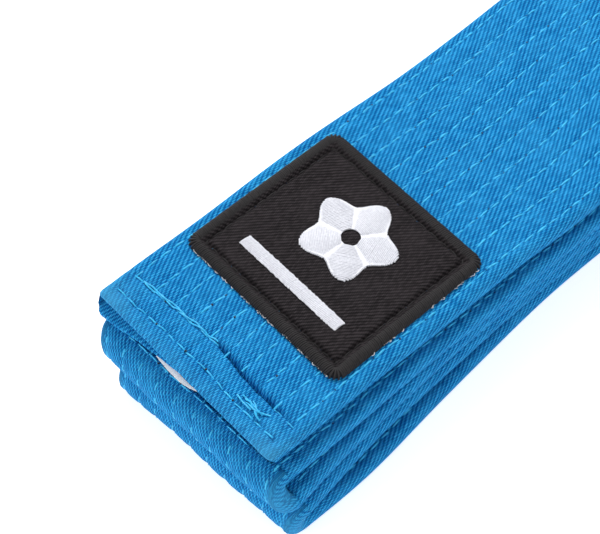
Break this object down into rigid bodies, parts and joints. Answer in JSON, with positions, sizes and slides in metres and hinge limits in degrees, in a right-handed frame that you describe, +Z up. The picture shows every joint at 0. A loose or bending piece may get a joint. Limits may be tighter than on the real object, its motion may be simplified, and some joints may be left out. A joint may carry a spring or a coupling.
{
  "type": "martial arts belt",
  "caption": "Blue cotton martial arts belt folded zigzag in a flat stack, with topstitched rows, a stitched hem and a plain black sewn badge.",
  "frame": {"origin": "under the middle of the folded stack, on the surface it lies on", "axes": "+X across the belt's width, +Y along the folded runs from the badged free end to the far folds, +Z up"},
  "size_m": [0.04, 0.4846, 0.0216],
  "materials": {
    "cover_twill": "matte blue cotton twill",
    "interlining_cotton": "undyed cotton interlining",
    "topstitch_thread": "bright blue polyester-cotton thread",
    "badge_twill": "black twill",
    "badge_merrow": "black overlocked border thread",
    "badge_thread": "black sewing thread",
    "badge_embroidery": "white satin-stitch thread with a soft sheen",
    "label_tape": "white woven label tape"
  },
  "bodies": {
    "bottom_run": {"run_1_cover": "cover_twill", "run_1_core_lower": "interlining_cotton", "run_1_core_upper": "interlining_cotton", "run_1_topstitch": "topstitch_thread", "fold_a_cover": "cover_twill", "fold_a_core_inner": "interlining_cotton", "fold_a_core_outer": "interlining_cotton", "bottom_end_hem": "cover_twill", "bottom_end_turned_in_ply": "cover_twill", "bottom_end_cross_row_1": "topstitch_thread", "bottom_end_cross_row_2": "topstitch_thread"},
    "second_run": {"run_2_cover": "cover_twill", "run_2_core_lower": "interlining_cotton", "run_2_core_upper": "interlining_cotton", "run_2_topstitch": "topstitch_thread", "fold_b_cover": "cover_twill", "fold_b_core_inner": "interlining_cotton", "fold_b_core_outer": "interlining_cotton"},
    "third_run": {"run_3_cover": "cover_twill", "run_3_core_lower": "interlining_cotton", "run_3_core_upper": "interlining_cotton", "run_3_topstitch": "topstitch_thread", "fold_c_cover": "cover_twill", "fold_c_core_inner": "interlining_cotton", "fold_c_core_outer": "interlining_cotton"},
    "fourth_run": {"run_4_cover": "cover_twill", "run_4_core_lower": "interlining_cotton", "run_4_core_upper": "interlining_cotton", "run_4_topstitch": "topstitch_thread", "fold_d_cover": "cover_twill", "fold_d_core_inner": "interlining_cotton", "fold_d_core_outer": "interlining_cotton"},
    "top_run": {"run_5_cover": "cover_twill", "run_5_core_lower": "interlining_cotton", "run_5_core_upper": "interlining_cotton", "run_5_topstitch": "topstitch_thread", "top_end_hem": "cover_twill", "top_end_turned_in_ply": "cover_twill", "top_end_cross_row_1": "topstitch_thread", "top_end_cross_row_2": "topstitch_thread", "top_end_back_tack": "topstitch_thread", "care_label": "label_tape", "badge_border": "badge_merrow", "badge_field": "badge_twill", "badge_seam": "badge_thread", "badge_blossom": "badge_embroidery", "badge_bar": "badge_embroidery"}
  },
  "joints": [
    {"name": "fold_a_opens", "type": "hinge", "parent": "bottom_run", "child": "second_run", "pos_m": [0, -0.2385, 0.0038], "axis": [1, 0, 0], "range_deg": [0, 90], "deforming": ["fold_a_cover", "fold_a_core_inner", "fold_a_core_outer"]},
    {"name": "fold_b_opens", "type": "hinge", "parent": "second_run", "child": "third_run", "pos_m": [0, 0.2385, 0.008], "axis": [-1, 0, 0], "range_deg": [0, 120], "deforming": ["fold_b_cover", "fold_b_core_inner", "fold_b_core_outer"]},
    {"name": "fold_c_opens", "type": "hinge", "parent": "third_run", "child": "fourth_run", "pos_m": [0, -0.2385, 0.0122], "axis": [1, 0, 0], "range_deg": [0, 135], "deforming": ["fold_c_cover", "fold_c_core_inner", "fold_c_core_outer"]},
    {"name": "fold_d_opens", "type": "hinge", "parent": "fourth_run", "child": "top_run", "pos_m": [0, 0.2385, 0.0164], "axis": [-1, 0, 0], "range_deg": [0, 180], "deforming": ["fold_d_cover", "fold_d_core_inner", "fold_d_core_outer"]}
  ]
}
